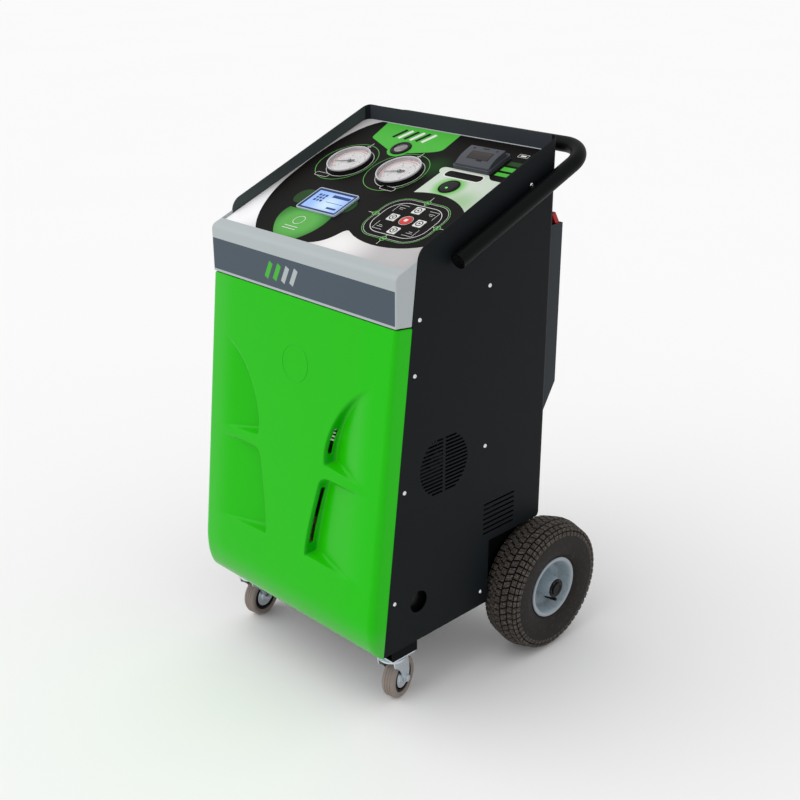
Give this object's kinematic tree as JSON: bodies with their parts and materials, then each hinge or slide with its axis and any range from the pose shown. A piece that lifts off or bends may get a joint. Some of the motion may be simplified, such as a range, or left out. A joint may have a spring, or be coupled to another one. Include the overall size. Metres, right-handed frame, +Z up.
{
  "type": "refrigerant recovery machine",
  "caption": "Wheeled air-conditioning service station: leaning cabinet with green front cover, sloping panel with gauges, display, keypad and printer, push handle, rear wheels and casters.",
  "frame": {"origin": "on the floor under the middle of the overall box", "axes": "+Z up, the front faces -Y, +X to the right seen from the front"},
  "size_m": [0.6016, 0.5569, 0.981],
  "materials": {
    "black_sheet": "satin powder coat",
    "green_cover": "gloss",
    "silver_plastic": "satin",
    "slate_band": "satin",
    "panel_sheet": "brushed",
    "overlay_film": "satin",
    "black_plastic": "matte",
    "dark_plastic": "matte",
    "dial_white": "matte",
    "clear_lens": "clear",
    "needle_black": "matte",
    "display_frame": "gloss",
    "display_lit": "lit",
    "key_white": "satin",
    "key_red": "satin",
    "paper": "thermal paper, matte",
    "handle_black": "satin",
    "red_folder": "satin",
    "brass": "machined",
    "zinc": "zinc plated",
    "rim_grey": "satin",
    "tyre_rubber": "matte",
    "caster_rubber": "matte",
    "steel": "bright",
    "cast_black": "painted",
    "tank_grey": "satin",
    "alloy": "cast",
    "circuit_green": "satin",
    "oil_bottle": "translucent"
  },
  "bodies": {
    "cabinet": {"chassis_base": "black_sheet", "axle": "steel", "axle_caps": "black_plastic", "side_panel_right": "black_sheet", "side_panel_left": "black_sheet", "rear_panel": "black_sheet", "front_cover": "green_cover", "fascia": "silver_plastic", "fascia_band": "slate_band", "control_panel": "panel_sheet", "panel_overlay": "overlay_film", "keypad_board": "circuit_green", "gauge_cases": "black_plastic", "gauge_dials": "dial_white", "gauge_lenses": "clear_lens", "display_bezel": "display_frame", "display_screen": "display_lit", "sight_glass_ring": "black_plastic", "sight_glass_lens": "clear_lens", "printer_body": "dark_plastic", "handle_tube": "handle_black", "handle_end_plugs": "black_plastic", "rear_pocket": "black_sheet", "power_inlet": "black_plastic", "service_ports": "brass", "panel_screws": "zinc", "caster_plates": "zinc", "compressor": "cast_black", "refrigerant_tank": "tank_grey", "tank_scale": "alloy", "vacuum_pump": "alloy", "condenser_coil": "alloy", "fan_shroud": "black_plastic", "filter_drier": "alloy", "valve_manifold": "alloy", "control_board": "circuit_green", "oil_bottles": "oil_bottle"},
    "rear_wheel_left": {"tyre_left": "tyre_rubber", "rim_left": "rim_grey"},
    "rear_wheel_right": {"tyre_right": "tyre_rubber", "rim_right": "rim_grey"},
    "caster_fork_left": {"fork_left": "zinc"},
    "caster_fork_right": {"fork_right": "zinc"},
    "caster_wheel_left": {"caster_hub_left": "black_plastic", "caster_tyre_left": "caster_rubber"},
    "caster_wheel_right": {"caster_hub_right": "black_plastic", "caster_tyre_right": "caster_rubber"},
    "low_pressure_needle": {"low_needle": "needle_black"},
    "high_pressure_needle": {"high_needle": "needle_black"},
    "up_key": {"key_up": "key_white"},
    "down_key": {"key_down": "key_white"},
    "left_key": {"key_left": "key_white"},
    "right_key": {"key_right": "key_white"},
    "stop_key": {"key_stop": "key_red"},
    "print_key": {"print_button": "black_plastic"},
    "lid": {"printer_lid": "dark_plastic"},
    "paper": {"paper_roll": "paper"},
    "rocker": {"main_switch": "key_red"},
    "fan_wheel": {"fan": "black_plastic"},
    "folder": {"document_folder": "red_folder"}
  },
  "joints": [
    {"name": "rear_wheel_left_spin", "type": "hinge", "parent": "cabinet", "child": "rear_wheel_left", "pos_m": [-0.2585, 0.14849, 0.13], "axis": [1, 0, 0], "continuous": true},
    {"name": "rear_wheel_right_spin", "type": "hinge", "parent": "cabinet", "child": "rear_wheel_right", "pos_m": [0.2585, 0.14849, 0.13], "axis": [1, 0, 0], "continuous": true},
    {"name": "caster_left_swivel", "type": "hinge", "parent": "cabinet", "child": "caster_fork_left", "pos_m": [-0.1995, -0.19551, 0.11], "axis": [0, 0, 1], "continuous": true},
    {"name": "caster_right_swivel", "type": "hinge", "parent": "cabinet", "child": "caster_fork_right", "pos_m": [0.1995, -0.19551, 0.11], "axis": [0, 0, 1], "continuous": true},
    {"name": "caster_left_spin", "type": "hinge", "parent": "caster_fork_left", "child": "caster_wheel_left", "pos_m": [-0.20256, -0.17373, 0.04], "axis": [0.9903, 0.1392, 0], "continuous": true},
    {"name": "caster_right_spin", "type": "hinge", "parent": "caster_fork_right", "child": "caster_wheel_right", "pos_m": [0.19344, -0.17436, 0.04], "axis": [0.9613, 0.2756, 0], "continuous": true},
    {"name": "low_pressure_needle_turn", "type": "hinge", "parent": "cabinet", "child": "low_pressure_needle", "pos_m": [-0.133, 0.02286, 0.90508], "axis": [0, -0.3649, 0.9311], "range_deg": [-250, 20], "stiffness_Nm_per_rad": 0.002},
    {"name": "high_pressure_needle_turn", "type": "hinge", "parent": "cabinet", "child": "high_pressure_needle", "pos_m": [-0.003, 0.02286, 0.90508], "axis": [0, -0.3649, 0.9311], "range_deg": [-250, 20], "stiffness_Nm_per_rad": 0.002},
    {"name": "up_key_press", "type": "slide", "parent": "cabinet", "child": "up_key", "axis": [0, 0.3649, -0.9311], "range_m": [0, 0.0008], "stiffness_N_per_m": 1500},
    {"name": "down_key_press", "type": "slide", "parent": "cabinet", "child": "down_key", "axis": [0, 0.3649, -0.9311], "range_m": [0, 0.0008], "stiffness_N_per_m": 1500},
    {"name": "left_key_press", "type": "slide", "parent": "cabinet", "child": "left_key", "axis": [0, 0.3649, -0.9311], "range_m": [0, 0.0008], "stiffness_N_per_m": 1500},
    {"name": "right_key_press", "type": "slide", "parent": "cabinet", "child": "right_key", "axis": [0, 0.3649, -0.9311], "range_m": [0, 0.0008], "stiffness_N_per_m": 1500},
    {"name": "stop_key_press", "type": "slide", "parent": "cabinet", "child": "stop_key", "axis": [0, 0.3649, -0.9311], "range_m": [0, 0.0008], "stiffness_N_per_m": 1500},
    {"name": "print_key_press", "type": "slide", "parent": "cabinet", "child": "print_key", "axis": [0, 0.3649, -0.9311], "range_m": [0, 0.0008], "stiffness_N_per_m": 1500},
    {"name": "printer_lid_open", "type": "hinge", "parent": "cabinet", "child": "lid", "pos_m": [0.128, 0.11613, 0.94217], "axis": [-1, 0, 0], "range_deg": [0, 85]},
    {"name": "paper_roll_spin", "type": "hinge", "parent": "cabinet", "child": "paper", "pos_m": [0.128, 0.10272, 0.90953], "axis": [1, 0, 0], "continuous": true},
    {"name": "mains_switch_rock", "type": "hinge", "parent": "cabinet", "child": "rocker", "pos_m": [-0.135, 0.16099, 0.36], "axis": [1, 0, 0], "range_deg": [0, 20]},
    {"name": "fan_spin", "type": "hinge", "parent": "cabinet", "child": "fan_wheel", "pos_m": [0.209, -0.10551, 0.456], "axis": [1, 0, 0], "continuous": true},
    {"name": "folder_lift", "type": "slide", "parent": "cabinet", "child": "folder", "axis": [0, 0, 1], "range_m": [0, 0.32]}
  ]
}
